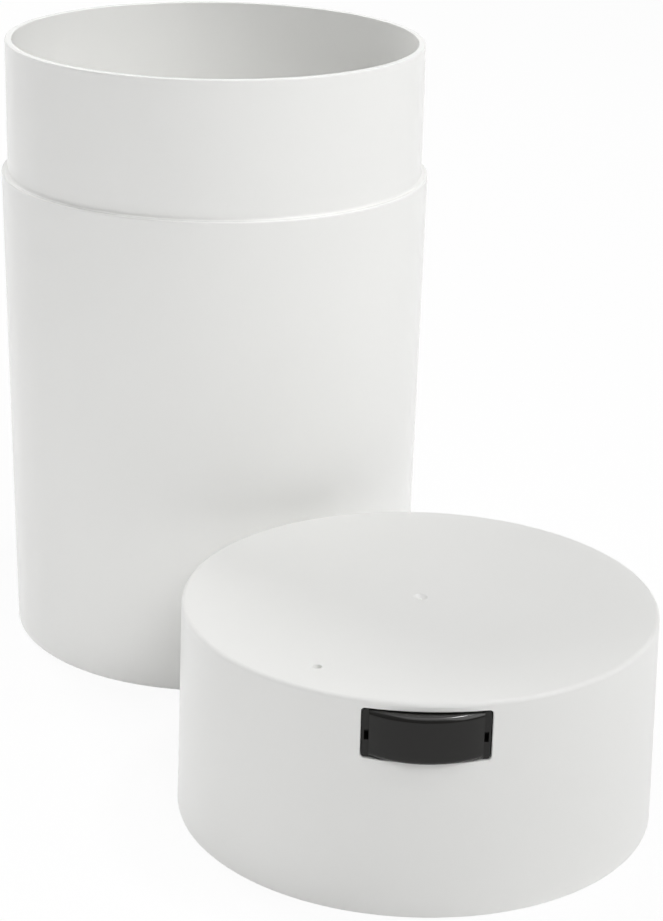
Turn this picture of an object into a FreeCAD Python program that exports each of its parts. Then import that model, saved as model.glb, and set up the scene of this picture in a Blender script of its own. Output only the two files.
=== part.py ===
import FreeCAD, Part
import math
import os
import re
import Sketcher

# A coffee canister whose push-on cap holds a button-operated air valve.
# The canister stands at the origin, and its cap stands beside it with the button towards -Y.
# Pieces of the cap are drawn about the cap's own axis, from its rim upwards, and then placed.

# Driving dimensions, in millimetres and degrees
sizes = {
    # canister
    "neck_radius": 58.3,
    "neck_height": 36.9,
    "neck_wall": 1.9,
    "step_width": 1.7,
    "step_height": 135.9,
    "body_draft": 1.8,
    "body_wall": 2.4,
    "floor_thickness": 2.4,
    "foot_width": 6.0,
    "foot_recess": 0.8,
    "rim_round": 0.5,
    "bore_round": 0.3,
    "step_round": 0.5,
    "step_root_round": 0.7,
    "base_round": 1.2,
    "floor_round": 3.0,
    # where the cap stands
    "stand_gap": 9.0,
    "stand_angle": 26.2,
    # outer cap
    "neck_clearance": 0.4,
    "cap_wall": 1.8,
    "cap_draft": 1.0,
    "cap_panel": 2.0,
    "cap_crown": 0.5,
    "cap_edge_round": 1.0,
    "cap_rim_round": 0.4,
    "ledge_width": 0.8,
    "plenum_height": 14.0,
    "gate_dish_radius": 1.9,
    "gate_dish_depth": 0.6,
    "gate_radius": 0.45,
    "gate_height": 0.25,
    "pin_radius": 1.0,
    "pin_depth": 0.9,
    "pin_round": 0.25,
    "pin_inset": 11.3,
    "pin_angle": 31.6,
    # snap rings between the outer cap and the inner lid
    "ring_inset": 4.4,
    "ring_wall": 1.6,
    "ring_gap": 0.3,
    "ring_end_gap": 4.0,
    "bead_depth": 0.5,
    "bead_half_height": 0.8,
    "notch_gap": 1.2,
    # inner lid and its seal
    "rim_gap": 0.3,
    "lid_panel": 2.0,
    "lid_clearance": 0.3,
    "plug_clearance": 1.8,
    "plug_wall": 2.4,
    "plug_depth": 14.0,
    "plug_round": 0.6,
    "groove_offset": 3.0,
    "groove_height": 5.0,
    "groove_depth": 1.2,
    "seal_slack": 0.1,
    "seal_band": 0.4,
    "seal_squeeze": 0.2,
    "lip_root": 1.0,
    "lip_tip": 0.5,
    "lip_rise": 0.7,
    # button and its window
    "window_width": 30.2,
    "window_sill": 1.2,
    "window_drop": 0.2,
    "window_round": 1.0,
    "window_edge_round": 0.3,
    "button_gap": 0.25,
    "button_proud": 2.6,
    "button_brow": 1.5,
    "button_chin": 1.4,
    "button_face": 1.8,
    "wing_width": 1.6,
    "wing_recess": 0.3,
    "wing_notch_width": 1.1,
    "wing_notch_height": 2.6,
    "wing_notch_depth": 2.4,
    "flange_overlap": 2.0,
    "flange_gap": 0.4,
    "flange_thickness": 1.6,
    "press_travel": 3.0,
    "running_gap": 0.3,
    # slide behind the button
    "snug_gap": 0.1,
    "head_thickness": 1.8,
    "head_lip": 1.6,
    "hollow_lip": 0.6,
    "arm_gap": 0.4,
    "arm_width": 2.0,
    "arm_low": 1.8,
    "arm_tail": 4.0,
    "guide_wall": 1.5,
    "guide_height": 3.6,
    "guide_clearance": 1.0,
    "stop_thickness": 1.6,
    # valve
    "valve_reach": 36.0,
    "port_radius": 2.5,
    "seat_wall": 1.5,
    "seat_height": 0.8,
    "pad_lap": 1.2,
    "pad_thickness": 1.2,
    "pad_lip_wall": 0.8,
    "pad_lip_height": 0.9,
    "holder_thickness": 1.2,
    "lift_share": 0.5,
    "ramp_gap": 0.35,
    "ramp_spare": 1.8,
    "crossbar_half": 2.2,
    "crossbar_thickness": 1.4,
    "plate_thickness": 1.0,
    "plate_lip": 0.5,
    "stem_radius": 2.0,
    "stem_gap": 0.5,
    "boss_wall": 1.0,
    # springs
    "wire": 0.5,
    "coil_pitch": 1.3,
    "coil_gap": 0.65,
    "spring_length": 10.0,
    "spring_side_gap": 0.6,
    "coil_radius": 2.1,
    "post_gap": 0.4,
    "post_length": 2.0,
    # how far a cut runs past the solid that it cuts, and how near an edge is found
    "overrun": 1.0,
    "edge_reach": 0.01,
}

doc = FreeCAD.newDocument("coffee_canister")
sheet = doc.addObject("Spreadsheet::Sheet", "Sizes")
for row, (name, number) in enumerate(sizes.items(), start=1):
    sheet.set(f"A{row}", name)
    sheet.set(f"B{row}", str(number))
    sheet.setAlias(f"B{row}", name)
doc.recompute()


# Formulas: words of the sheet above, pointed at their cells
def bound(formula):
    def cell(word):
        return f"Sizes.{word.group()}" if word.group() in sizes else word.group()

    return re.sub(r"[a-z][a-z0-9_]*", cell, formula)


def value(formula):
    return float(sheet.evalExpression(bound(formula)))


# Canister radii and heights
body_radius = "(neck_radius + step_width)"
base_radius = f"({body_radius} - body_draft)"
bore_radius = "(neck_radius - neck_wall)"
rim_height = "(step_height + neck_height)"
floor_height = "(foot_recess + floor_thickness)"

# Cap radii and heights, from its rim
skirt_bore = "(neck_radius + neck_clearance)"
upper_bore = f"({skirt_bore} - ledge_width)"
cap_radius = f"({skirt_bore} + cap_wall)"
cap_top_radius = f"({cap_radius} - cap_draft)"
pin_reach = f"({cap_top_radius} - pin_inset)"
lid_under = "(neck_height + rim_gap)"
lid_top = f"({lid_under} + lid_panel)"
panel_under = f"({lid_top} + plenum_height)"
cap_height = f"({panel_under} + cap_panel)"
plenum_middle = f"({lid_top} + plenum_height / 2)"
stand_reach = f"({body_radius} + {cap_radius} + stand_gap)"
cap_right = f"({stand_reach} * sin(stand_angle))"
cap_forward = f"({stand_reach} * cos(stand_angle))"

# Snap rings
cap_ring_outer = f"({upper_bore} - ring_inset)"
cap_ring_inner = f"({cap_ring_outer} - ring_wall)"
lid_ring_outer = f"({cap_ring_inner} - ring_gap)"
lid_ring_inner = f"({lid_ring_outer} - ring_wall)"

# Plug and seal
plug_outer = f"({bore_radius} - plug_clearance)"
plug_inner = f"({plug_outer} - plug_wall)"
plug_bottom = f"({lid_under} - plug_depth)"
groove_radius = f"({plug_outer} - groove_depth)"
groove_bottom = f"({plug_bottom} + groove_offset)"
groove_top = f"({groove_bottom} + groove_height)"

# Button, as distances forward of the cap's axis
window_half = "(window_width / 2)"
window_bottom = f"({lid_top} + window_sill)"
window_top = f"({panel_under} - window_drop)"
button_half = f"({window_half} - button_gap)"
button_bottom = f"({window_bottom} + button_gap)"
button_top = f"({window_top} - button_gap)"
bulge_half = f"({button_half} - wing_width)"
cap_front = f"({cap_radius} - cap_draft * {plenum_middle} / {cap_height})"
bulge_front = f"({cap_front} + button_proud)"
bulge_end = f"sqrt({cap_front} ^ 2 - {bulge_half} ^ 2)"
bulge_rise = f"({bulge_front} - {bulge_end})"
bulge_radius = f"(({bulge_half} ^ 2 + {bulge_rise} ^ 2) / (2 * {bulge_rise}))"
wing_front = f"(sqrt({cap_front} ^ 2 - {button_half} ^ 2) - wing_recess)"
flange_half = f"({button_half} + flange_overlap)"
flange_front = f"(sqrt({upper_bore} ^ 2 - {flange_half} ^ 2) - flange_gap)"
flange_back = f"({flange_front} - flange_thickness)"
flange_bottom = f"({lid_top} + running_gap)"
flange_top = f"({panel_under} - running_gap)"
ring_notch = f"asin(({flange_half} + notch_gap) / {lid_ring_inner})"

# Valve, about the port's axis
seat_radius = "(port_radius + seat_wall)"
seat_top = f"({lid_top} + seat_height)"
pad_radius = f"({seat_radius} + pad_lap)"
holder_bottom = f"({seat_top} + pad_thickness)"
holder_top = f"({holder_bottom} + holder_thickness)"
holder_radius = f"({pad_radius} - pad_lip_wall - snug_gap)"
lift = "(press_travel * lift_share)"
ramp_front = "(crossbar_half + press_travel + ramp_spare)"
ramp_back = "(crossbar_half + ramp_spare)"
arm_bottom = f"({lid_top} + running_gap)"
ramp_foot = f"({arm_bottom} + arm_low)"
ramp_middle = f"({ramp_foot} + lift_share * {ramp_back})"
ramp_head = f"({ramp_middle} + lift_share * {ramp_front})"
crossbar_rise = "(lift_share * crossbar_half)"
crossbar_under = f"({ramp_middle} + ramp_gap)"
crossbar_top = f"({crossbar_under} + {crossbar_rise} + crossbar_thickness)"
plate_top = f"({crossbar_top} + plate_thickness)"
stem_top = f"({panel_under} - {lift} - stem_gap)"
boss_inner = "(stem_radius + running_gap)"
boss_outer = f"({boss_inner} + boss_wall)"
boss_bottom = f"({plate_top} + {lift} + running_gap)"
valve_coil_radius = f"({boss_outer} + coil_gap + wire / 2)"
plate_radius = f"({valve_coil_radius} + wire / 2 + plate_lip)"

# Slide and return springs
arm_inner = f"({pad_radius} + arm_gap)"
arm_outer = f"({arm_inner} + arm_width)"
head_half = f"({arm_outer} + head_lip)"
head_back = f"({flange_back} - head_thickness)"
hollow_half = f"({head_half} - hollow_lip)"
hollow_front = f"({bulge_end} - button_face)"
hollow_bottom = f"({button_bottom} + button_face)"
hollow_top = f"({button_top} - button_face)"
guide_inner = f"({arm_outer} + running_gap)"
guide_outer = f"({guide_inner} + guide_wall)"
guide_front = f"({head_back} - press_travel - guide_clearance)"
coil_outer = "(coil_radius + wire / 2)"
spring_across = f"({head_half} + spring_side_gap + {coil_outer})"
stop_front = f"({flange_back} - spring_length)"
post_radius = "(coil_radius - wire / 2 - post_gap)"


# Bodies, sketches and features
def new_body(label):
    body = doc.addObject("PartDesign::Body", label)
    body.Label = label
    return body


def place(piece, right="0", forward="0"):
    piece.setExpression("Placement.Base.x", bound(right))
    piece.setExpression("Placement.Base.y", bound(f"-({forward})"))


def sketch_on(body, name, role, offset="0"):
    sketch = body.newObject("Sketcher::SketchObject", name)
    plane = next(item for item in body.Origin.OriginFeatures if item.Role == role)
    sketch.AttachmentSupport = [(plane, "")]
    sketch.MapMode = "FlatFace"
    sketch.setExpression("AttachmentOffset.Base.z", bound(offset))
    return sketch


def fix_point(sketch, geometry, position, across, along):
    for kind, axis, formula in (("DistanceX", -2, across), ("DistanceY", -1, along)):
        if formula == "0":
            sketch.addConstraint(Sketcher.Constraint("PointOnObject", geometry, position, axis))
            continue
        rule = Sketcher.Constraint(kind, -1, 1, geometry, position, value(formula))
        index = sketch.addConstraint(rule)
        sketch.setExpression(f"Constraints[{index}]", bound(formula))


def fix_radius(sketch, geometry, formula):
    index = sketch.addConstraint(Sketcher.Constraint("Radius", geometry, value(formula)))
    sketch.setExpression(f"Constraints[{index}]", bound(formula))


def left_arc(start, end, radius):
    chord = end - start
    reach = math.sqrt(radius**2 - (chord.Length / 2) ** 2)
    normal = FreeCAD.Vector(-chord.y, chord.x, 0).normalize()
    centre = (start + end) / 2 + normal * reach
    first = math.atan2(start.y - centre.y, start.x - centre.x)
    last = math.atan2(end.y - centre.y, end.x - centre.x)
    circle = Part.Circle(centre, FreeCAD.Vector(0, 0, 1), radius)
    return Part.ArcOfCircle(circle, first, last if last > first else last + 2 * math.pi)


# A closed outline, walked with its material on the left. A corner is (x, y),
# or (x, y, radius) where an arc leads from it to the next corner.
def outline(sketch, corners):
    points = [FreeCAD.Vector(value(corner[0]), value(corner[1]), 0) for corner in corners]
    ends = points[1:] + points[:1]
    edges = []
    for corner, start, end in zip(corners, points, ends):
        if len(corner) == 2:
            edges.append(sketch.addGeometry(Part.LineSegment(start, end)))
            continue
        edges.append(sketch.addGeometry(left_arc(start, end, value(corner[2]))))
    for before, edge in zip(edges[-1:] + edges[:-1], edges):
        sketch.addConstraint(Sketcher.Constraint("Coincident", before, 2, edge, 1))
    for corner, edge in zip(corners, edges):
        fix_point(sketch, edge, 1, corner[0], corner[1])
        if len(corner) == 3:
            fix_radius(sketch, edge, corner[2])


def rectangle(sketch, left, right, low, high):
    outline(sketch, [(left, low), (right, low), (right, high), (left, high)])


def rounded_rectangle(sketch, left, right, low, high, radius):
    outline(
        sketch,
        [
            (f"{left} + {radius}", low),
            (f"{right} - {radius}", low, radius),
            (right, f"{low} + {radius}"),
            (right, f"{high} - {radius}", radius),
            (f"{right} - {radius}", high),
            (f"{left} + {radius}", high, radius),
            (left, f"{high} - {radius}"),
            (left, f"{low} + {radius}", radius),
        ],
    )


def circle(sketch, across, along, radius):
    centre = FreeCAD.Vector(value(across), value(along), 0)
    ring = sketch.addGeometry(Part.Circle(centre, FreeCAD.Vector(0, 0, 1), value(radius)))
    fix_point(sketch, ring, 3, across, along)
    fix_radius(sketch, ring, radius)


# An outline turned about the vertical axis, all the way or leaving a notch centred on -Y;
# a groove is cut out of the body, and a revolution is added to it
def revolve(body, name, corners, notch=None, kind="Revolution"):
    sketch = sketch_on(body, f"{name}_section", "YZ_Plane" if notch else "XZ_Plane")
    outline(sketch, corners)
    feature = body.newObject(f"PartDesign::{kind}", name)
    feature.Profile = sketch
    feature.ReferenceAxis = (sketch, ["V_Axis"])
    if notch:
        feature.Midplane = True
        feature.setExpression("Angle", bound(f"360 deg - 2 * {notch}"))
    else:
        feature.Angle = 360
    doc.recompute()
    return feature


def pad(body, sketch, length, reverse=False, both_ways=False):
    feature = body.newObject("PartDesign::Pad", f"{sketch.Name}_pad")
    feature.Profile = sketch
    feature.setExpression("Length", bound(length))
    feature.Reversed = reverse
    if both_ways:
        feature.SideType = "Symmetric"
    doc.recompute()
    return feature


def pocket(body, sketch, length):
    doc.recompute()
    before = body.Shape.Volume
    feature = body.newObject("PartDesign::Pocket", f"{sketch.Name}_cut")
    feature.Profile = sketch
    feature.setExpression("Length", bound(length))
    doc.recompute()
    if not feature.Shape.Volume < before:
        raise RuntimeError(f"{feature.Name} cuts nothing")
    return feature


def fillet(body, name, base, edges, radius):
    if not edges:
        raise RuntimeError(f"{name} finds no edge")
    feature = body.newObject("PartDesign::Fillet", name)
    feature.Base = (base, edges)
    feature.setExpression("Radius", bound(radius))
    doc.recompute()
    return feature


# An edge is found by a place this near to it
near = value("edge_reach")


# Names of the circular edges of a feature with these radii, at these heights
def rings(feature, *places):
    found = []
    for number, edge in enumerate(feature.Shape.Edges, start=1):
        if edge.Degenerated or not isinstance(edge.Curve, Part.Circle):
            continue
        for radius, height in places:
            same_radius = abs(edge.Curve.Radius - value(radius)) < near
            same_height = abs(edge.Curve.Center.z - value(height)) < near
            if same_radius and same_height:
                found.append(f"Edge{number}")
    return found


# Names of the edges of a feature that pass through these points
def edges_through(feature, *points):
    marks = [Part.Vertex(*(value(formula) for formula in point)) for point in points]
    return [
        f"Edge{number}"
        for number, edge in enumerate(feature.Shape.Edges, start=1)
        if any(edge.distToShape(mark)[0] < near for mark in marks)
    ]


# The canister: foot ring, tapered body, step, straight neck and a bore that is straight in the neck
def make_canister():
    body = new_body("canister_body")
    foot_inner = f"({base_radius} - foot_width)"
    floor_radius = f"({base_radius} - body_wall)"
    wall = revolve(
        body,
        "canister_wall",
        [
            ("0", "foot_recess"),
            (foot_inner, "foot_recess"),
            (foot_inner, "0"),
            (base_radius, "0"),
            (body_radius, "step_height"),
            ("neck_radius", "step_height"),
            ("neck_radius", rim_height),
            (bore_radius, rim_height),
            (bore_radius, "step_height"),
            (floor_radius, floor_height),
            ("0", floor_height),
        ],
    )
    shape = wall
    for name, radius, height in (
        ("rim_round", "neck_radius", rim_height),
        ("bore_round", bore_radius, rim_height),
        ("step_round", body_radius, "step_height"),
        ("step_root_round", "neck_radius", "step_height"),
        ("base_round", base_radius, "0"),
        ("floor_round", floor_radius, floor_height),
    ):
        shape = fillet(body, f"{name}ing", shape, rings(shape, (radius, height)), name)
    return body


# The outer cap: skirt, ledge for the inner lid, crowned top, snap ring, stem boss, button window
def make_cap_shell():
    body = new_body("cap_shell")
    crown_radius = f"(({cap_top_radius} ^ 2 + cap_crown ^ 2) / (2 * cap_crown))"
    shell = revolve(
        body,
        "cap_wall_and_top",
        [
            (skirt_bore, "0"),
            (cap_radius, "0"),
            (cap_top_radius, cap_height, crown_radius),
            ("0", f"{cap_height} + cap_crown"),
            ("0", panel_under),
            (upper_bore, panel_under),
            (upper_bore, lid_top),
            (skirt_bore, lid_top),
        ],
    )
    top_edge = rings(shell, (cap_top_radius, cap_height))
    shape = fillet(body, "cap_edge_rounding", shell, top_edge, "cap_edge_round")
    rim_edges = rings(shape, (cap_radius, "0"), (skirt_bore, "0"))
    fillet(body, "cap_rim_rounding", shape, rim_edges, "cap_rim_round")
    revolve(
        body,
        "cap_snap_ring",
        [
            (cap_ring_inner, f"{lid_top} + ring_end_gap"),
            (cap_ring_outer, f"{lid_top} + ring_end_gap"),
            (cap_ring_outer, panel_under),
            (cap_ring_inner, panel_under),
            (cap_ring_inner, f"{plenum_middle} + bead_half_height"),
            (f"{cap_ring_inner} + bead_depth", plenum_middle),
            (cap_ring_inner, f"{plenum_middle} - bead_half_height"),
        ],
        notch=ring_notch,
    )
    boss = sketch_on(body, "stem_boss", "XY_Plane", boss_bottom)
    circle(boss, "0", "-valve_reach", boss_outer)
    circle(boss, "0", "-valve_reach", boss_inner)
    pad(body, boss, f"{panel_under} - {boss_bottom}")
    crown_top = f"({cap_height} + cap_crown)"
    dish_bottom = f"({crown_top} - gate_dish_depth)"
    dish_round = "((gate_dish_radius ^ 2 + gate_dish_depth ^ 2) / (2 * gate_dish_depth))"
    revolve(
        body,
        "gate_dish",
        [
            ("0", dish_bottom, dish_round),
            ("gate_dish_radius", crown_top),
            ("gate_dish_radius", f"{crown_top} + overrun"),
            ("0", f"{crown_top} + overrun"),
        ],
        kind="Groove",
    )
    gate = sketch_on(body, "gate_stub", "XY_Plane", f"{dish_bottom} - gate_height")
    circle(gate, "0", "0", "gate_radius")
    pad(body, gate, "2 * gate_height")
    mark = sketch_on(body, "pin_mark", "XY_Plane", f"{crown_top} + overrun")
    circle(mark, f"-{pin_reach} * sin(pin_angle)", f"-{pin_reach} * cos(pin_angle)", "pin_radius")
    shape = pocket(body, mark, "overrun + cap_crown + pin_depth")
    far = f"({pin_reach} + pin_radius)"
    pin_edge = (
        f"-{far} * sin(pin_angle)",
        f"-{far} * cos(pin_angle)",
        f"{crown_top} - {crown_radius} + sqrt({crown_radius} ^ 2 - {far} ^ 2)",
    )
    fillet(body, "pin_rounding", shape, edges_through(shape, pin_edge), "pin_round")
    window = sketch_on(body, "button_window", "XZ_Plane", f"{cap_radius} + overrun")
    left = f"-{window_half}"
    rounded_rectangle(window, left, window_half, window_bottom, window_top, "window_round")
    shape = pocket(body, window, f"{cap_radius} + overrun - {cap_ring_outer}")
    sill_edge = ("0", f"-({cap_radius} - cap_draft * {window_bottom} / {cap_height})", window_bottom)
    fillet(body, "window_rounding", shape, edges_through(shape, sill_edge), "window_edge_round")
    return body


# The inner lid: panel, plug wall with the seal's groove, snap ring, port seat, guides and spring stops
def make_inner_lid():
    body = new_body("inner_lid")
    lid_radius = f"({skirt_bore} - lid_clearance)"
    lid = revolve(
        body,
        "lid_panel_and_plug",
        [
            ("0", lid_under),
            (plug_inner, lid_under),
            (plug_inner, plug_bottom),
            (plug_outer, plug_bottom),
            (plug_outer, groove_bottom),
            (groove_radius, groove_bottom),
            (groove_radius, groove_top),
            (plug_outer, groove_top),
            (plug_outer, lid_under),
            (lid_radius, lid_under),
            (lid_radius, lid_top),
            ("0", lid_top),
        ],
    )
    plug_edges = rings(lid, (plug_inner, plug_bottom), (plug_outer, plug_bottom))
    fillet(body, "plug_rounding", lid, plug_edges, "plug_round")
    revolve(
        body,
        "lid_snap_ring",
        [
            (lid_ring_inner, lid_top),
            (lid_ring_outer, lid_top),
            (lid_ring_outer, f"{plenum_middle} - bead_half_height"),
            (f"{lid_ring_outer} + bead_depth", plenum_middle),
            (lid_ring_outer, f"{plenum_middle} + bead_half_height"),
            (lid_ring_outer, f"{panel_under} - ring_end_gap"),
            (lid_ring_inner, f"{panel_under} - ring_end_gap"),
        ],
        notch=ring_notch,
    )
    seat = sketch_on(body, "port_seat", "XY_Plane", lid_top)
    circle(seat, "0", "-valve_reach", seat_radius)
    pad(body, seat, "seat_height")
    guides = sketch_on(body, "slide_guides", "XY_Plane", lid_top)
    stops = sketch_on(body, "spring_stops", "XY_Plane", lid_top)
    posts = sketch_on(body, "stop_posts", "XZ_Plane", stop_front)
    guide_back = f"-(valve_reach - {ramp_back} - arm_tail)"
    stop_outer = f"({spring_across} + {coil_outer} + running_gap)"
    stop_faces = (f"-{stop_front}", f"-({stop_front} - stop_thickness)")
    rectangle(guides, f"-{guide_outer}", f"-{guide_inner}", f"-{guide_front}", guide_back)
    rectangle(guides, guide_inner, guide_outer, f"-{guide_front}", guide_back)
    rectangle(stops, f"-{stop_outer}", f"-{guide_inner}", *stop_faces)
    rectangle(stops, guide_inner, stop_outer, *stop_faces)
    circle(posts, f"-{spring_across}", plenum_middle, post_radius)
    circle(posts, spring_across, plenum_middle, post_radius)
    pad(body, guides, "guide_height")
    pad(body, stops, f"plenum_height / 2 + {coil_outer} + running_gap")
    pad(body, posts, "post_length")
    port = sketch_on(body, "air_port", "XY_Plane", f"{seat_top} + overrun")
    circle(port, "0", "-valve_reach", "port_radius")
    pocket(body, port, "lid_panel + seat_height + 2 * overrun")
    return body


# The soft ring in the plug's groove, with two lips that wipe the neck's bore
def make_lip_seal():
    body = new_body("lip_seal")
    inner = f"({groove_radius} + seal_slack)"
    band = f"({plug_outer} + seal_band)"
    reach = f"({bore_radius} + seal_squeeze)"
    bottom = f"({groove_bottom} + seal_slack)"
    top = f"({groove_top} - seal_slack)"
    half = f"(({top} - {bottom}) / 2)"
    corners = [(inner, bottom), (band, bottom)]
    for lip in range(2):
        root = f"({bottom} + {lip} * {half} + ({half} - lip_root) / 2)"
        corners += [
            (band, root),
            (reach, f"{root} + lip_rise"),
            (reach, f"{root} + lip_rise + lip_tip"),
            (band, f"{root} + lip_root"),
        ]
    corners += [(band, top), (inner, top)]
    revolve(body, "seal_ring", corners)
    return body


# The button: bowed face, a wing at each end, and a flange that keeps it behind the window
def make_push_button():
    body = new_body("push_button")
    height = f"{button_top} - {button_bottom}"
    plan = sketch_on(body, "bulge_plan", "XY_Plane", button_bottom)
    outline(
        plan,
        [
            (f"-{bulge_half}", f"-{bulge_end}", bulge_radius),
            (bulge_half, f"-{bulge_end}"),
            (bulge_half, f"-{flange_front}"),
            (f"-{bulge_half}", f"-{flange_front}"),
        ],
    )
    shape = pad(body, plan, height)
    brow = rings(shape, (bulge_radius, button_top))
    shape = fillet(body, "button_brow_rounding", shape, brow, "button_brow")
    chin = rings(shape, (bulge_radius, button_bottom))
    fillet(body, "button_chin_rounding", shape, chin, "button_chin")
    wings = sketch_on(body, "wing_plan", "XY_Plane", button_bottom)
    rectangle(wings, f"-{button_half}", f"-{bulge_half}", f"-{wing_front}", f"-{flange_front}")
    rectangle(wings, bulge_half, button_half, f"-{wing_front}", f"-{flange_front}")
    shape = pad(body, wings, height)
    side_middle = f"-({wing_front} + {flange_front}) / 2"
    corners = [
        (side, side_middle, level)
        for side in (f"-{button_half}", button_half)
        for level in (button_bottom, button_top)
    ]
    edges = edges_through(shape, *corners)
    fillet(body, "wing_corner_rounding", shape, edges, "window_round - button_gap")
    flange = sketch_on(body, "button_flange", "XZ_Plane", flange_back)
    rectangle(flange, f"-{flange_half}", flange_half, flange_bottom, flange_top)
    pad(body, flange, "flange_thickness")
    posts = sketch_on(body, "button_posts", "XZ_Plane", flange_back)
    circle(posts, f"-{spring_across}", plenum_middle, post_radius)
    circle(posts, spring_across, plenum_middle, post_radius)
    pad(body, posts, "post_length", reverse=True)
    notches = sketch_on(body, "wing_notches", "XZ_Plane", bulge_end)
    notch_bottom = f"{plenum_middle} - wing_notch_height / 2"
    notch_top = f"{plenum_middle} + wing_notch_height / 2"
    notch_outer = f"({bulge_half} + wing_notch_width)"
    rectangle(notches, f"-{notch_outer}", f"-{bulge_half}", notch_bottom, notch_top)
    rectangle(notches, bulge_half, notch_outer, notch_bottom, notch_top)
    pocket(body, notches, f"{bulge_end} - {wing_front} + wing_notch_depth")
    hollow = sketch_on(body, "button_hollow", "XZ_Plane", hollow_front)
    rectangle(hollow, f"-{hollow_half}", hollow_half, hollow_bottom, hollow_top)
    pocket(body, hollow, f"{hollow_front} - {flange_back} + overrun")
    return body


# The slide: a nose that snaps into the button, a head plate and two ramped arms beside the valve
def make_valve_slide():
    body = new_body("valve_slide")
    head = sketch_on(body, "slide_head", "XZ_Plane", head_back)
    head_top = f"({plenum_middle} + {coil_outer})"
    rectangle(head, f"-{head_half}", head_half, arm_bottom, head_top)
    pad(body, head, "head_thickness")
    nose = sketch_on(body, "slide_nose", "XZ_Plane", flange_back)
    rectangle(
        nose,
        f"-({hollow_half} - snug_gap)",
        f"({hollow_half} - snug_gap)",
        f"{hollow_bottom} + snug_gap",
        f"{hollow_top} - snug_gap",
    )
    pad(body, nose, f"{hollow_front} - {flange_back} - snug_gap")
    for side, inner in (("left", f"-{arm_outer}"), ("right", arm_inner)):
        arm = sketch_on(body, f"slide_arm_{side}", "YZ_Plane", inner)
        outline(
            arm,
            [
                (f"-{head_back}", arm_bottom),
                (f"-(valve_reach - {ramp_back} - arm_tail)", arm_bottom),
                (f"-(valve_reach - {ramp_back} - arm_tail)", ramp_foot),
                (f"-(valve_reach - {ramp_back})", ramp_foot),
                (f"-(valve_reach + {ramp_front})", ramp_head),
                (f"-{head_back}", ramp_head),
            ],
        )
        pad(body, arm, "arm_width")
    return body


# The poppet, drawn about the port's axis: pad holder, stem, spring plate, and the crossbar on the ramps
def make_valve_stem():
    body = new_body("valve_stem")
    revolve(
        body,
        "stem",
        [
            ("0", holder_bottom),
            (holder_radius, holder_bottom),
            (holder_radius, holder_top),
            ("stem_radius", holder_top),
            ("stem_radius", crossbar_top),
            (plate_radius, crossbar_top),
            (plate_radius, plate_top),
            ("stem_radius", plate_top),
            ("stem_radius", stem_top),
            ("0", stem_top),
        ],
    )
    bar = sketch_on(body, "crossbar", "YZ_Plane")
    outline(
        bar,
        [
            ("-crossbar_half", f"{crossbar_under} + {crossbar_rise}"),
            ("crossbar_half", f"{crossbar_under} - {crossbar_rise}"),
            ("crossbar_half", crossbar_top),
            ("-crossbar_half", crossbar_top),
        ],
    )
    pad(body, bar, f"2 * {arm_outer}", both_ways=True)
    return body


# The soft cup that holds on to the poppet and closes the port
def make_valve_pad():
    body = new_body("valve_pad")
    cup_inner = f"({pad_radius} - pad_lip_wall)"
    revolve(
        body,
        "pad_cup",
        [
            ("0", seat_top),
            (pad_radius, seat_top),
            (pad_radius, f"{holder_bottom} + pad_lip_height"),
            (cup_inner, f"{holder_bottom} + pad_lip_height"),
            (cup_inner, holder_bottom),
            ("0", holder_bottom),
        ],
    )
    return body


# A coil along +Z from the origin: one wire on a helix, as two arcs for each quarter turn
def coil(radius, length):
    wire = value("wire")
    rise = length - 2 * wire
    turns = max(2, round(rise / value("coil_pitch")))
    steps = 4 * turns
    slope = rise / (2 * math.pi * turns)

    def on_helix(step):
        turn = step * math.pi / 2
        height = wire + rise * step / steps
        point = FreeCAD.Vector(radius * math.cos(turn), radius * math.sin(turn), height)
        heading = FreeCAD.Vector(-radius * math.sin(turn), radius * math.cos(turn), slope)
        return point, heading.normalize()

    edges = []
    for step in range(steps):
        edges += biarc(*on_helix(step), *on_helix(step + 1))
    path = Part.Wire(edges)
    start, heading = on_helix(0)
    section = Part.Wire([Part.Circle(start, heading, wire / 2).toShape()])
    pipe = Part.BRepOffsetAPI.MakePipeShell(path)
    pipe.add(section)
    pipe.build()
    pipe.makeSolid()
    return pipe.shape(), path, turns


def biarc(start, start_heading, end, end_heading):
    span = end - start
    bend = 2 * (1 - start_heading.dot(end_heading))
    along = span.dot(start_heading + end_heading)
    reach = (math.sqrt(along**2 + bend * span.dot(span)) - along) / bend
    middle = (start + end + (start_heading - end_heading) * reach) / 2
    return [
        arc_under(start, start + start_heading * reach, middle),
        arc_under(middle, end - end_heading * reach, end),
    ]


# The arc from start to end whose tangents meet at the corner
def arc_under(start, corner, end):
    base = (start + end) / 2
    half = (end - start).Length / 2
    height = (corner - base).Length
    radius = half * (corner - start).Length / height
    sag = radius - math.sqrt(radius**2 - half**2)
    return Part.Arc(start, base + (corner - base) * (sag / height), end).toShape()


# Least clear gap between neighbouring turns, measured on points along the path
def least_gap(path, turns):
    per_turn = 24
    points = path.discretize(Number=per_turn * turns + 1)
    gaps = [
        (first - other).Length
        for place, first in enumerate(points)
        for other in points[place + per_turn // 2 :]
    ]
    return min(gaps) - value("wire")


def make_spring(label, radius, length, right, forward, height, axis):
    shape, path, turns = coil(value(radius), value(length))
    print(f"{label}: {turns} turns, least gap {least_gap(path, turns):.2f} mm")
    piece = doc.addObject("Part::Feature", label)
    piece.Label = label
    piece.Shape = shape
    origin = FreeCAD.Vector(value(right), -value(forward), value(height))
    turn = FreeCAD.Rotation(FreeCAD.Vector(0, 0, 1), axis)
    piece.Placement = FreeCAD.Placement(origin, turn)
    return piece


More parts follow.
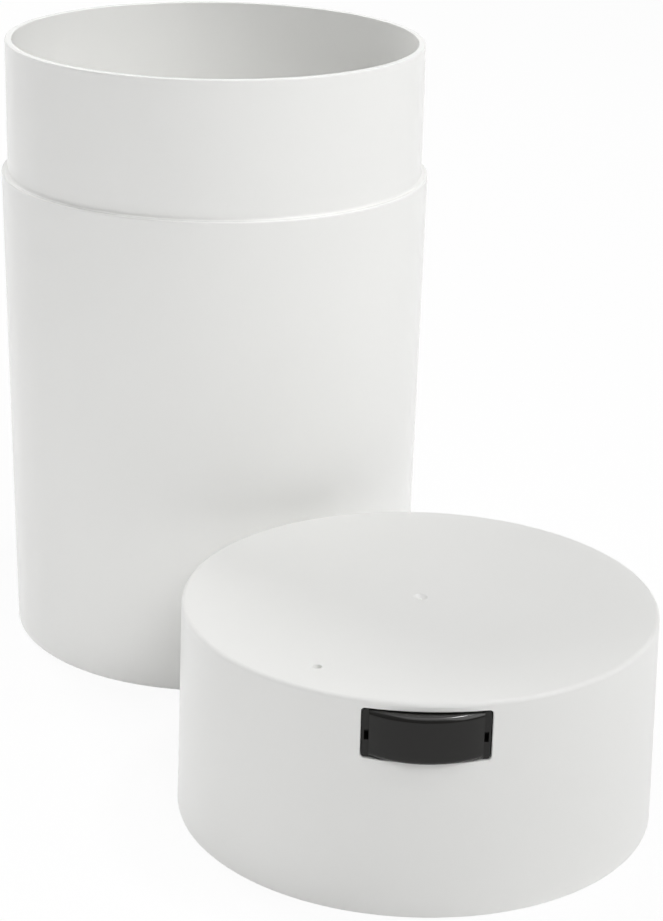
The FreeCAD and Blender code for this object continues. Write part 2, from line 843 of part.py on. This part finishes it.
canister = make_canister()
cap_pieces = [
    make_cap_shell(),
    make_inner_lid(),
    make_lip_seal(),
    make_push_button(),
    make_valve_slide(),
]
valve_pieces = [make_valve_stem(), make_valve_pad()]
for piece in cap_pieces:
    place(piece, cap_right, cap_forward)
for piece in valve_pieces:
    place(piece, cap_right, f"{cap_forward} + valve_reach")
doc.recompute()

up = FreeCAD.Vector(0, 0, 1)
inwards = FreeCAD.Vector(0, 1, 0)
springs = [
    make_spring(
        "valve_spring",
        valve_coil_radius,
        f"{panel_under} - {plate_top}",
        cap_right,
        f"{cap_forward} + valve_reach",
        plate_top,
        up,
    )
]
for side, across in (("left", f"-{spring_across}"), ("right", spring_across)):
    springs.append(
        make_spring(
            f"return_spring_{side}",
            "coil_radius",
            "spring_length",
            f"{cap_right} + {across}",
            f"{cap_forward} + {flange_back}",
            plenum_middle,
            inwards,
        )
    )

pieces = [canister] + cap_pieces + valve_pieces + springs
for item in doc.Objects:
    if "Invalid" in item.State or "Error" in item.State:
        raise RuntimeError(f"{item.Label} is in state {item.State}")
    if item.isDerivedFrom("Sketcher::SketchObject") and not item.FullyConstrained:
        raise RuntimeError(f"{item.Label} is not fully constrained")
for piece in pieces:
    if piece.Shape.isNull() or not piece.Shape.isValid() or len(piece.Shape.Solids) != 1:
        raise RuntimeError(f"{piece.Label} is not one valid solid")

os.makedirs("parts", exist_ok=True)
for piece in pieces:
    piece.Shape.exportStep(f"parts/{piece.Label}.step")
    print(f"{piece.Label}: {piece.Shape.Volume:.1f} cubic mm")
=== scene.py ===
import bpy
import math
from mathutils import Matrix, Vector


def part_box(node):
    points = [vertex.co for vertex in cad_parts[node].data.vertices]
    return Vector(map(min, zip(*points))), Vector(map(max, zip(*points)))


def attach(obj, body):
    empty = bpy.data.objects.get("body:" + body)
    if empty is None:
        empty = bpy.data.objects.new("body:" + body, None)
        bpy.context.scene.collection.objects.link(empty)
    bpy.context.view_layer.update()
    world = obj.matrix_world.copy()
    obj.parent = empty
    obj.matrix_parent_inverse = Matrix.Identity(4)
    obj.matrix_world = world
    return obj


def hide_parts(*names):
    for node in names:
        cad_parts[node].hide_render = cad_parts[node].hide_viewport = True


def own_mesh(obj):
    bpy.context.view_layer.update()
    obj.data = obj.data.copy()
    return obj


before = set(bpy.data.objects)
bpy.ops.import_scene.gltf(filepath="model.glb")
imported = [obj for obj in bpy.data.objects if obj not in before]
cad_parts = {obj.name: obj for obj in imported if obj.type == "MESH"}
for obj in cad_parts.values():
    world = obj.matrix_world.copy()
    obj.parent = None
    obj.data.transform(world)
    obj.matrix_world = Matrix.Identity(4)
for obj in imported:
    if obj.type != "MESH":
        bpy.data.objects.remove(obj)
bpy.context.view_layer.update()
mm = 0.001
print("frame loaded:", len(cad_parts), "nodes")


# the middle of a node's box, for pieces that stand on the same axis
def middle(node):
    low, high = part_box(node)
    return (Vector(low) + Vector(high)) / 2


def linear(hexColour):
    channels = [int(hexColour[i : i + 2], 16) / 255 for i in (1, 3, 5)]
    return [c / 12.92 if c <= 0.04045 else ((c + 0.055) / 1.055) ** 2.4 for c in channels] + [1.0]


# adds one node with its settings; an input is a number or a socket to link from
def addNode(tree, kind, inputs=None, **settings):
    node = tree.nodes.new(kind)
    for name, value in settings.items():
        setattr(node, name, value)
    for name, value in (inputs or {}).items():
        if isinstance(value, bpy.types.NodeSocket):
            tree.links.new(value, node.inputs[name])
        else:
            node.inputs[name].default_value = value
    return node


def newTree(name, inputs):
    tree = bpy.data.node_groups.new(name, "GeometryNodeTree")
    tree.interface.new_socket("Geometry", in_out="INPUT", socket_type="NodeSocketGeometry")
    for title, kind in inputs.items():
        tree.interface.new_socket(title, in_out="INPUT", socket_type=kind)
    tree.interface.new_socket("Geometry", in_out="OUTPUT", socket_type="NodeSocketGeometry")
    return tree, addNode(tree, "NodeGroupInput"), addNode(tree, "NodeGroupOutput")


# runs a tree on some starting edges and keeps the result as a plain mesh at the given place
def grow(name, tree, settings, points=(), place=Matrix()):
    edges = [(i, i + 1) for i in range(len(points) - 1)]
    seed = bpy.data.meshes.new(name + "Seed")
    seed.from_pydata([(x * mm, 0, z * mm) for x, z in points], edges, [])
    maker = bpy.data.objects.new(name + "Maker", seed)
    bpy.context.scene.collection.objects.link(maker)
    modifier = maker.modifiers.new(tree.name, "NODES")
    modifier.node_group = tree
    for item in tree.interface.items_tree:
        if item.in_out == "INPUT" and item.name in settings:
            modifier[item.identifier] = settings[item.name]
    made = maker.evaluated_get(bpy.context.evaluated_depsgraph_get())
    mesh = bpy.data.meshes.new_from_object(made)
    maker.modifiers.remove(modifier)
    bpy.data.objects.remove(maker)
    mesh.transform(place)
    mesh.name = name
    piece = bpy.data.objects.new(name, mesh)
    bpy.context.scene.collection.objects.link(piece)
    return piece


# materials

# injection-moulded thermoplastic: near-even colour, a faint orange peel that breaks
# up highlights, and a gloss that drifts a little where the melt flowed
def mouldedPlastic(name, look):
    material = bpy.data.materials.new(name)
    material.use_nodes = True
    tree = material.node_tree
    tree.nodes.clear()
    place = addNode(tree, "ShaderNodeTexCoord").outputs["Object"]
    flow = addNode(
        tree,
        "ShaderNodeTexNoise",
        {"Vector": place, "Scale": 1 / (look["flowMm"] * mm), "Detail": 2.0, "Roughness": 0.5},
    ).outputs["Fac"]
    peel = addNode(
        tree,
        "ShaderNodeTexNoise",
        {"Vector": place, "Scale": 1 / (look["peelMm"] * mm), "Detail": 1.0, "Roughness": 0.4},
    ).outputs["Fac"]
    colour = addNode(
        tree,
        "ShaderNodeMix",
        {"Factor": flow, 6: linear(look["colour"]), 7: linear(look["flowColour"])},
        data_type="RGBA",
    ).outputs[2]
    shiniest, dullest = look["roughness"] - look["drift"], look["roughness"] + look["drift"]
    gloss = addNode(
        tree,
        "ShaderNodeMapRange",
        {"Value": flow, "To Min": shiniest, "To Max": dullest},
    ).outputs["Result"]
    bump = addNode(
        tree,
        "ShaderNodeBump",
        {"Strength": look["peelStrength"], "Distance": look["peelDepthMm"] * mm, "Height": peel},
    ).outputs["Normal"]
    shader = addNode(
        tree,
        "ShaderNodeBsdfPrincipled",
        {
            "Base Color": colour,
            "Roughness": gloss,
            "IOR": look["ior"],
            "Specular IOR Level": look["gloss"],
            "Normal": bump,
        },
    )
    addNode(tree, "ShaderNodeOutputMaterial", {"Surface": shader.outputs["BSDF"]})
    return material


# white ABS, polished mould: shows soft streaks of the studio on its sides
canisterLook = {
    "colour": "#FAFAF8",
    "flowColour": "#F8F8F6",
    "flowMm": 40,
    "roughness": 0.24,
    "drift": 0.03,
    "ior": 1.52,
    "gloss": 0.5,
    "peelMm": 1.2,  # finer on the real moulding, drawn coarse enough to show
    "peelDepthMm": 0.006,
    "peelStrength": 0.25,
}
# white ABS, satin mould: broad highlights on the edges, no clear reflections
capLook = dict(
    canisterLook,
    colour="#F1F1EF",
    flowColour="#EFEFED",
    roughness=0.31,
    gloss=0.32,
    peelMm=0.9,
    peelDepthMm=0.01,
)
# white polypropylene, waxier and a little greyer
lidLook = dict(canisterLook, colour="#E9E9E6", flowColour="#E4E4E1", roughness=0.42, ior=1.49)
# black ABS with a fine spark-eroded grain: dull on the face, a glint on the rounded edges
buttonLook = {
    "colour": "#171614",
    "flowColour": "#1A1917",
    "flowMm": 12,
    "roughness": 0.17,
    "drift": 0.02,
    "ior": 1.52,
    "gloss": 0.3,  # the grain shades part of what a smooth face would reflect
    "roundCoat": 0.7,  # extra shine where the surface turns upwards
    "roundTilt": (0.2, 0.5),  # upward share of the normal at which it starts and is full
    "peelMm": 0.4,  # grain of about 0.1 mm, drawn coarse enough to show
    "peelDepthMm": 0.008,
    "peelStrength": 0.25,
}
# natural acetal: bone white, slippery satin
acetalLook = dict(canisterLook, colour="#E2DFD6", flowColour="#DCD9CF", roughness=0.34, ior=1.48)
# silicone rubber: milky grey, dull, with a slightly mottled skin
sealLook = dict(canisterLook, colour="#C9CBCC", flowColour="#BFC2C3", roughness=0.55, ior=1.41)
padLook = dict(sealLook, colour="#A9ABAC", flowColour="#9FA2A3")

canisterAbs = mouldedPlastic("glossWhiteAbs", canisterLook)
capAbs = mouldedPlastic("satinWhiteAbs", capLook)
lidPolypropylene = mouldedPlastic("whitePolypropylene", lidLook)
buttonAbs = mouldedPlastic("grainedBlackAbs", buttonLook)
valveAcetal = mouldedPlastic("naturalAcetal", acetalLook)
sealSilicone = mouldedPlastic("milkySilicone", sealLook)
padSilicone = mouldedPlastic("greySilicone", padLook)

# the button's upward rounds are polished, not grained: its brow takes a clear glint
buttonTree = buttonAbs.node_tree
facing = addNode(buttonTree, "ShaderNodeNewGeometry").outputs["Normal"]
tilt = addNode(buttonTree, "ShaderNodeSeparateXYZ", {0: facing})
polish = addNode(
    buttonTree,
    "ShaderNodeMapRange",
    {
        "Value": tilt.outputs["Z"],
        "From Min": buttonLook["roundTilt"][0],
        "From Max": buttonLook["roundTilt"][1],
        "To Max": buttonLook["roundCoat"],
    },
)
buttonShader = next(node for node in buttonTree.nodes if node.type == "BSDF_PRINCIPLED")
buttonTree.links.new(polish.outputs["Result"], buttonShader.inputs["Coat Weight"])
buttonShader.inputs["Coat Roughness"].default_value = buttonLook["roughness"]

# drawn spring steel: bright grey metal with fine drawing lines along the wire
steelLook = {"colour": "#B4B4B2", "darkColour": "#8E8E8D", "lineMm": 0.3, "roughness": 0.3, "drift": 0.08}


def drawnSteel(name, look):
    material = bpy.data.materials.new(name)
    material.use_nodes = True
    tree = material.node_tree
    tree.nodes.clear()
    place = addNode(tree, "ShaderNodeTexCoord").outputs["Object"]
    lines = addNode(
        tree, "ShaderNodeTexNoise", {"Vector": place, "Scale": 1 / (look["lineMm"] * mm), "Detail": 2.0}
    ).outputs["Fac"]
    colour = addNode(
        tree,
        "ShaderNodeMix",
        {"Factor": lines, 6: linear(look["colour"]), 7: linear(look["darkColour"])},
        data_type="RGBA",
    ).outputs[2]
    shiniest, dullest = look["roughness"] - look["drift"], look["roughness"] + look["drift"]
    gloss = addNode(
        tree,
        "ShaderNodeMapRange",
        {"Value": lines, "To Min": shiniest, "To Max": dullest},
    ).outputs["Result"]
    shader = addNode(
        tree, "ShaderNodeBsdfPrincipled", {"Base Color": colour, "Roughness": gloss, "Metallic": 1.0}
    )
    addNode(tree, "ShaderNodeOutputMaterial", {"Surface": shader.outputs["BSDF"]})
    return material


springSteel = drawnSteel("drawnSpringSteel", steelLook)
print("materials made:", len(bpy.data.materials))


# turned pieces: a section in the XZ plane swept round the Z axis, its seam and poles welded
weld = 0.002 * mm
turnTree, turnIn, turnOut = newTree(
    "turnedSection",
    {"Segments": "NodeSocketInt", "Finish": "NodeSocketMaterial"},
)
segments = turnIn.outputs["Segments"]
rows = addNode(
    turnTree,
    "GeometryNodeAttributeDomainSize",
    {"Geometry": turnIn.outputs["Geometry"]},
).outputs["Point Count"]
columns = addNode(turnTree, "ShaderNodeMath", {0: segments, 1: 1.0}, operation="ADD")
sheet = addNode(turnTree, "GeometryNodeMeshGrid", {"Vertices X": columns.outputs[0], "Vertices Y": rows})
index = addNode(turnTree, "GeometryNodeInputIndex").outputs[0]
step = addNode(turnTree, "FunctionNodeIntegerMath", {0: index, 1: rows}, operation="DIVIDE_FLOOR")
row = addNode(turnTree, "FunctionNodeIntegerMath", {0: index, 1: rows}, operation="MODULO")
sample = addNode(
    turnTree,
    "GeometryNodeSampleIndex",
    {
        "Geometry": turnIn.outputs["Geometry"],
        "Value": addNode(turnTree, "GeometryNodeInputPosition").outputs[0],
        "Index": row.outputs[0],
    },
    data_type="FLOAT_VECTOR",
)
share = addNode(turnTree, "ShaderNodeMath", {0: step.outputs[0], 1: segments}, operation="DIVIDE")
angle = addNode(turnTree, "ShaderNodeMath", {0: share.outputs[0], 1: 2 * math.pi}, operation="MULTIPLY")
swung = addNode(
    turnTree,
    "ShaderNodeVectorRotate",
    {"Vector": sample.outputs["Value"], "Angle": angle.outputs[0]},
    rotation_type="Z_AXIS",
)
swept = addNode(
    turnTree, "GeometryNodeSetPosition", {"Geometry": sheet.outputs["Mesh"], "Position": swung.outputs[0]}
)
closed = addNode(turnTree, "GeometryNodeMergeByDistance", {"Geometry": swept.outputs[0], "Distance": weld})
smooth = addNode(turnTree, "GeometryNodeSetShadeSmooth", {"Geometry": closed.outputs[0]})
whole = addNode(turnTree, "GeometryNodeRealizeInstances", {"Geometry": smooth.outputs[0]})
finished = addNode(
    turnTree,
    "GeometryNodeSetMaterial",
    {"Geometry": whole.outputs[0], "Material": turnIn.outputs["Finish"]},
)
turnTree.links.new(finished.outputs[0], turnOut.inputs[0])


# rounds the corners (x, z, radius) of a section, and adds a point just outside each
# round, so that smooth shading stays flat on the long walls
def roundedSection(corners, steps=6, guard=0.1, closed=False):
    points = []
    for i, (x, z, radius) in enumerate(corners):
        here = Vector((x, z))
        if not radius:
            points.append(here)
            continue
        back = (Vector(corners[i - 1][:2]) - here).normalized()
        ahead = (Vector(corners[(i + 1) % len(corners)][:2]) - here).normalized()
        half = back.angle(ahead) / 2
        reach = radius / math.tan(half)
        centre = here + (back + ahead).normalized() * (radius / math.sin(half))
        first, last = here + back * reach - centre, here + ahead * reach - centre
        points.append(here + back * (reach + guard))
        for k in range(steps + 1):
            points.append(centre + first.slerp(last, k / steps) * radius)  # slerp gives unit length
        points.append(here + ahead * (reach + guard))
    if closed:
        points.append(points[0])
    return [tuple(point) for point in points]


# canister: foot ring, tapered body, step and straight neck, in mm
canister = {
    "segments": 288,
    "footWidth": 6.0,
    "footRecess": 0.8,
    "footRound": 0.25,
    "baseRadius": 58.2,
    "baseRound": 1.2,
    "bodyRadius": 60.0,
    "stepHeight": 135.9,
    "stepRound": 0.5,
    "stepRootRound": 0.7,
    "neckRadius": 58.3,
    "rimHeight": 172.8,
    "rimRound": 0.5,
    "boreRadius": 56.4,
    "boreRound": 0.3,
    "boreBend": 30.0,
    "floorRadius": 55.8,
    "floorHeight": 3.2,
    "floorRound": 3.0,
}
footInner = canister["baseRadius"] - canister["footWidth"]
canisterSection = roundedSection(
    [
        (0, canister["footRecess"], 0),
        (footInner, canister["footRecess"], canister["footRound"]),
        (footInner, 0, canister["footRound"]),
        (canister["baseRadius"], 0, canister["baseRound"]),
        (canister["bodyRadius"], canister["stepHeight"], canister["stepRound"]),
        (canister["neckRadius"], canister["stepHeight"], canister["stepRootRound"]),
        (canister["neckRadius"], canister["rimHeight"], canister["rimRound"]),
        (canister["boreRadius"], canister["rimHeight"], canister["boreRound"]),
        (canister["boreRadius"], canister["stepHeight"], canister["boreBend"]),
        (canister["floorRadius"], canister["floorHeight"], canister["floorRound"]),
        (0, canister["floorHeight"], 0),
    ]
)
canisterWall = grow(
    "canisterWall",
    turnTree,
    {"Segments": canister["segments"], "Finish": canisterAbs},
    canisterSection,
)
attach(canisterWall, "canister")
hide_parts("canister_body")
print("canister turned:", len(canisterWall.data.polygons), "faces")

# lip seal: a band in the plug's groove with two soft lips that slope upwards, in mm from the cap's rim
seal = {
    "segments": 240,
    "innerRadius": 53.5,
    "bandRadius": 55.0,
    "lipRadius": 56.6,
    "bottom": 26.3,
    "top": 31.1,
    "lipRoots": (27.0, 29.4),
    "rootHeight": 1.0,
    "lipRise": 0.7,
    "lipTip": 0.5,
    "bandRound": 0.2,
    "tipRound": 0.2,
    "rootRound": 0.3,
}
sealCorners = [
    (seal["innerRadius"], seal["bottom"], seal["bandRound"]),
    (seal["bandRadius"], seal["bottom"], seal["bandRound"]),
]
for root in seal["lipRoots"]:
    sealCorners += [
        (seal["bandRadius"], root, seal["rootRound"]),
        (seal["lipRadius"], root + seal["lipRise"], seal["tipRound"]),
        (seal["lipRadius"], root + seal["lipRise"] + seal["lipTip"], seal["tipRound"]),
        (seal["bandRadius"], root + seal["rootHeight"], seal["rootRound"]),
    ]
sealCorners += [
    (seal["bandRadius"], seal["top"], seal["bandRound"]),
    (seal["innerRadius"], seal["top"], seal["bandRound"]),
]
sealRing = grow(
    "sealRing",
    turnTree,
    {"Segments": seal["segments"], "Finish": sealSilicone},
    roundedSection(sealCorners, steps=4, guard=0.03, closed=True),
    Matrix.Translation(middle("lip_seal").to_2d().to_3d()),
)
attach(sealRing, "cap")
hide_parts("lip_seal")

# valve cup: the soft disc under the poppet, with its lip round the holder, in mm
cup = {
    "segments": 96,
    "radius": 5.2,
    "bottom": 40.0,
    "web": 1.2,
    "lipWall": 0.8,
    "lipHeight": 0.9,
    "edgeRound": 0.3,
    "lipRound": 0.25,
    "rootRound": 0.15,
}
cupTop = cup["bottom"] + cup["web"] + cup["lipHeight"]
cupInner = cup["radius"] - cup["lipWall"]
cupSection = roundedSection(
    [
        (0, cup["bottom"], 0),
        (cup["radius"], cup["bottom"], cup["edgeRound"]),
        (cup["radius"], cupTop, cup["lipRound"]),
        (cupInner, cupTop, cup["lipRound"]),
        (cupInner, cup["bottom"] + cup["web"], cup["rootRound"]),
        (0, cup["bottom"] + cup["web"], 0),
    ],
    steps=4,
    guard=0.03,
)
valveCup = grow(
    "valveCup",
    turnTree,
    {"Segments": cup["segments"], "Finish": padSilicone},
    cupSection,
    Matrix.Translation(middle("valve_pad").to_2d().to_3d()),
)
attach(valveCup, "valve")
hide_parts("valve_pad")
print("seal and cup turned")

# compression springs: one wire on a helix along Z whose end turns close up
coilTree, coilIn, coilOut = newTree(
    "closedCoil",
    {
        "Turns": "NodeSocketFloat",
        "Radius": "NodeSocketFloat",
        "Wire": "NodeSocketFloat",
        "Length": "NodeSocketFloat",
        "Closing": "NodeSocketFloat",
        "Steps": "NodeSocketInt",
        "Sides": "NodeSocketInt",
        "Finish": "NodeSocketMaterial",
    },
)
given = coilIn.outputs
count = addNode(coilTree, "FunctionNodeIntegerMath", {0: given["Steps"], 1: 1}, operation="ADD")
line = addNode(coilTree, "GeometryNodeMeshLine", {"Count": count.outputs[0]})
index = addNode(coilTree, "GeometryNodeInputIndex").outputs[0]
share = addNode(coilTree, "ShaderNodeMath", {0: index, 1: given["Steps"]}, operation="DIVIDE").outputs[0]
turn = addNode(coilTree, "ShaderNodeMath", {0: share, 1: given["Turns"]}, operation="MULTIPLY").outputs[0]
angle = addNode(coilTree, "ShaderNodeMath", {0: turn, 1: 2 * math.pi}, operation="MULTIPLY").outputs[0]
slow = addNode(coilTree, "ShaderNodeMapRange", {"Value": share}, interpolation_type="SMOOTHSTEP").outputs[0]
climb = addNode(coilTree, "ShaderNodeMix", {0: given["Closing"], 2: share, 3: slow}).outputs[0]
rise = addNode(coilTree, "ShaderNodeMath", {0: given["Length"], 1: given["Wire"]}, operation="SUBTRACT")
halfWire = addNode(coilTree, "ShaderNodeMath", {0: given["Wire"], 1: 0.5}, operation="MULTIPLY").outputs[0]
height = addNode(
    coilTree,
    "ShaderNodeMath",
    {0: climb, 1: rise.outputs[0], 2: halfWire},
    operation="MULTIPLY_ADD",
).outputs[0]
start = addNode(coilTree, "ShaderNodeCombineXYZ", {"X": given["Radius"], "Z": height}).outputs[0]
spot = addNode(
    coilTree,
    "ShaderNodeVectorRotate",
    {"Vector": start, "Angle": angle},
    rotation_type="Z_AXIS",
).outputs[0]
wound = addNode(coilTree, "GeometryNodeSetPosition", {"Geometry": line.outputs[0], "Position": spot})
path = addNode(coilTree, "GeometryNodeMeshToCurve", {"Mesh": wound.outputs[0]})
section = addNode(
    coilTree,
    "GeometryNodeCurvePrimitiveCircle",
    {"Resolution": given["Sides"], "Radius": halfWire},
)
wire = addNode(
    coilTree,
    "GeometryNodeCurveToMesh",
    {"Curve": path.outputs[0], "Profile Curve": section.outputs[0], "Fill Caps": True},
)
smooth = addNode(coilTree, "GeometryNodeSetShadeSmooth", {"Geometry": wire.outputs[0]})
whole = addNode(coilTree, "GeometryNodeRealizeInstances", {"Geometry": smooth.outputs[0]})
finished = addNode(
    coilTree,
    "GeometryNodeSetMaterial",
    {"Geometry": whole.outputs[0], "Material": given["Finish"]},
)
coilTree.links.new(finished.outputs[0], coilOut.inputs[0])

# each spring fills its node's box: its joint, the axis that it shortens on and the end that stays
springs = {
    "valve_spring": {"piece": "valveCoil", "turns": 4, "axis": "Z", "joint": "valve_lift"},
    "return_spring_left": {"piece": "returnCoilLeft", "turns": 7, "axis": "Y", "joint": "button_press"},
    "return_spring_right": {"piece": "returnCoilRight", "turns": 7, "axis": "Y", "joint": "button_press"},
}
spring = {"wire": 0.5 * mm, "closing": 0.6, "stepsPerTurn": 40, "sides": 12}
for node, data in springs.items():
    low, high = (Vector(corner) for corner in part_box(node))
    centre, extent = (low + high) / 2, high - low
    along = "XYZ".index(data["axis"])
    foot = centre.copy()
    foot[along] = low[along]
    turned = Matrix.Rotation(math.radians(-90), 4, "X") if data["axis"] == "Y" else Matrix()
    coil = grow(
        data["piece"],
        coilTree,
        {
            "Turns": float(data["turns"]),
            "Radius": (extent.x - spring["wire"]) / 2,
            "Wire": spring["wire"],
            "Length": extent[along],
            "Closing": spring["closing"],
            "Steps": data["turns"] * spring["stepsPerTurn"],
            "Sides": spring["sides"],
            "Finish": springSteel,
        },
        place=Matrix.Translation(foot) @ turned,
    )
    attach(coil, "cap")
    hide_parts(node)
    anchor = centre.copy()
    anchor[along] = high[along]
    direction = Vector((0, 0, 0))
    direction[along] = 1
    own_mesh(coil)
print("springs wound:", len(springs))

# carried-over nodes
for node, finish in {
    "cap_shell": capAbs,
    "inner_lid": lidPolypropylene,
    "push_button": buttonAbs,
    "valve_slide": valveAcetal,
    "valve_stem": valveAcetal,
}.items():
    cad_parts[node].data.materials[0] = finish
print("nodes finished")

# studio: pale floor, white surroundings for the camera, soft lamps
studio = {
    "floorSize": 12.0,
    "floorHeight": -0.0002,  # just under the feet, so that no two faces share a plane
    "floorColour": "#F3F3F3",
    "floorGlow": 0.92,
    "ambient": 0.03,
    "frontRoom": 0.2,
    "backRoom": 0.8,
    "roomBlend": (-0.4, 0.2),  # where the front of the room turns into the back
    "white": (1.0, 1.0, 1.0, 1.0),
}
floorMesh = bpy.data.meshes.new("floor")
reach = studio["floorSize"] / 2
floorMesh.from_pydata(
    [(x * reach, y * reach, studio["floorHeight"]) for x, y in ((-1, -1), (1, -1), (1, 1), (-1, 1))],
    [],
    [(0, 1, 2, 3)],
)
floor = bpy.data.objects.new("floor", floorMesh)
bpy.context.scene.collection.objects.link(floor)
floorPaint = bpy.data.materials.new("paleFloorPaint")
floorPaint.use_nodes = True
floorTree = floorPaint.node_tree
floorTree.nodes.clear()
rays = addNode(floorTree, "ShaderNodeLightPath").outputs
seen = rays["Is Camera Ray"]
for other in ("Is Glossy Ray", "Is Transmission Ray"):
    seen = addNode(floorTree, "ShaderNodeMath", {0: seen, 1: rays[other]}, operation="MAXIMUM").outputs[0]
glow = addNode(floorTree, "ShaderNodeMath", {0: seen, 1: studio["floorGlow"]}, operation="MULTIPLY")
paint = addNode(floorTree, "ShaderNodeBsdfDiffuse", {"Color": linear(studio["floorColour"])})
white = addNode(floorTree, "ShaderNodeEmission", {"Strength": 1.0})
mixed = addNode(
    floorTree,
    "ShaderNodeMixShader",
    {0: glow.outputs[0], 1: paint.outputs[0], 2: white.outputs[0]},
)
addNode(floorTree, "ShaderNodeOutputMaterial", {"Surface": mixed.outputs[0]})
floorMesh.materials.append(floorPaint)

world = bpy.data.worlds.new("studio")
bpy.context.scene.world = world
world.use_nodes = True
worldTree = world.node_tree
worldTree.nodes.clear()
rays = addNode(worldTree, "ShaderNodeLightPath").outputs
clear = addNode(
    worldTree,
    "ShaderNodeMath",
    {0: rays["Is Camera Ray"], 1: rays["Is Transmission Ray"]},
    operation="MAXIMUM",
)
outlook = addNode(worldTree, "ShaderNodeTexCoord").outputs["Generated"]
heading = addNode(worldTree, "ShaderNodeSeparateXYZ", {0: outlook})
# shiny surfaces see the white backdrop, and the dimmer room on the camera's side
backdrop = addNode(
    worldTree,
    "ShaderNodeMapRange",
    {
        "Value": heading.outputs["Y"],
        "From Min": studio["roomBlend"][0],
        "From Max": studio["roomBlend"][1],
        "To Min": studio["frontRoom"],
        "To Max": studio["backRoom"],
    },
    interpolation_type="SMOOTHSTEP",
)
ambient, mirrored, white = (
    addNode(worldTree, "ShaderNodeBackground", {"Strength": strength, "Color": studio["white"]})
    for strength in (studio["ambient"], backdrop.outputs["Result"], 1.0)
)
mixed = addNode(
    worldTree,
    "ShaderNodeMixShader",
    {0: rays["Is Glossy Ray"], 1: ambient.outputs[0], 2: mirrored.outputs[0]},
)
mixed = addNode(
    worldTree,
    "ShaderNodeMixShader",
    {0: clear.outputs[0], 1: mixed.outputs[0], 2: white.outputs[0]},
)
addNode(worldTree, "ShaderNodeOutputWorld", {"Surface": mixed.outputs[0]})

# soft boxes and a low white card round a point between canister and cap: azimuth from the camera's
# side and elevation in degrees, width and height in metres, power, and whether shiny surfaces show
# the box itself; all but the card stand at the same distance
boxDistance = 2.0
lamps = {
    "glintBox": {"azimuth": 106, "elevation": 70, "size": (0.27, 0.27), "power": 7.0, "glint": True},
    "overBox": {"azimuth": 10, "elevation": 74, "size": (1.5, 1.5), "power": 7.0, "glint": True},
    "keyBox": {"azimuth": 60, "elevation": 40, "size": (1.3, 1.3), "power": 8.6, "glint": True},
    "frontBox": {"azimuth": 18, "elevation": 40, "size": (0.8, 0.8), "power": 9.4, "glint": False},
    "sideBox": {"azimuth": 86, "elevation": 34, "size": (1.0, 0.7), "power": 5.6, "glint": False},
    "leftBox": {"azimuth": 300, "elevation": 32, "size": (1.0, 1.0), "power": 1.0, "glint": False},
    "leftStrip": {"azimuth": 256, "elevation": 10, "size": (1.0, 0.7), "power": 7.2, "glint": False},
    "lowCard": {
        "azimuth": 318,
        "elevation": -8,
        "distance": 0.27,
        "size": (0.16, 0.04),
        "power": 0.045,
        "glint": False,
    },
    "backBox": {"azimuth": 214, "elevation": 39, "size": (0.7, 0.7), "power": 18.5, "glint": False},
}
aim = Vector((0.03, -0.05, 0.06))
for name, lamp in lamps.items():
    turn, lift = math.radians(lamp["azimuth"]), math.radians(lamp["elevation"])
    outward = Vector((math.cos(lift) * math.sin(turn), -math.cos(lift) * math.cos(turn), math.sin(lift)))
    light = bpy.data.lights.new(name, "AREA")
    light.shape = "RECTANGLE"
    light.size, light.size_y = lamp["size"]
    light.energy = lamp["power"]
    box = bpy.data.objects.new(name, light)
    box.location = aim + outward * lamp.get("distance", boxDistance)
    box.rotation_euler = (-outward).to_track_quat("-Z", "Y").to_euler()
    box.visible_camera = False
    box.visible_glossy = lamp["glint"]
    bpy.context.scene.collection.objects.link(box)
print("studio lit:", len(lamps), "lamps")

# camera, fitted to the 663 x 921 frame
view = {
    "at": (0.03177, -0.6761, 0.29988),
    "yaw": 0.253,
    "pitch": 20.41,
    "roll": 1.325,
    "focalPixels": 2442.09,
    "frameHeight": 921,
    "sensor": 36.0,
    "clip": (0.01, 20.0),
}
yaw, pitch, roll = (math.radians(view[k]) for k in ("yaw", "pitch", "roll"))
ahead = Vector((math.sin(yaw) * math.cos(pitch), math.cos(yaw) * math.cos(pitch), -math.sin(pitch)))
level = Vector((math.cos(yaw), -math.sin(yaw), 0))
upright = level.cross(ahead)
across = math.cos(roll) * level + math.sin(roll) * upright
upward = -math.sin(roll) * level + math.cos(roll) * upright
cameraData = bpy.data.cameras.new("photoCamera")
cameraData.sensor_width = view["sensor"]
cameraData.lens = view["focalPixels"] * view["sensor"] / view["frameHeight"]
cameraData.clip_start, cameraData.clip_end = view["clip"]
camera = bpy.data.objects.new("photoCamera", cameraData)
pointing = Matrix((across, upward, -ahead)).transposed().to_4x4()
camera.matrix_world = Matrix.Translation(view["at"]) @ pointing
bpy.context.scene.collection.objects.link(camera)
bpy.context.scene.camera = camera
bpy.context.scene.view_settings.view_transform = "Standard"

print("scene ready")
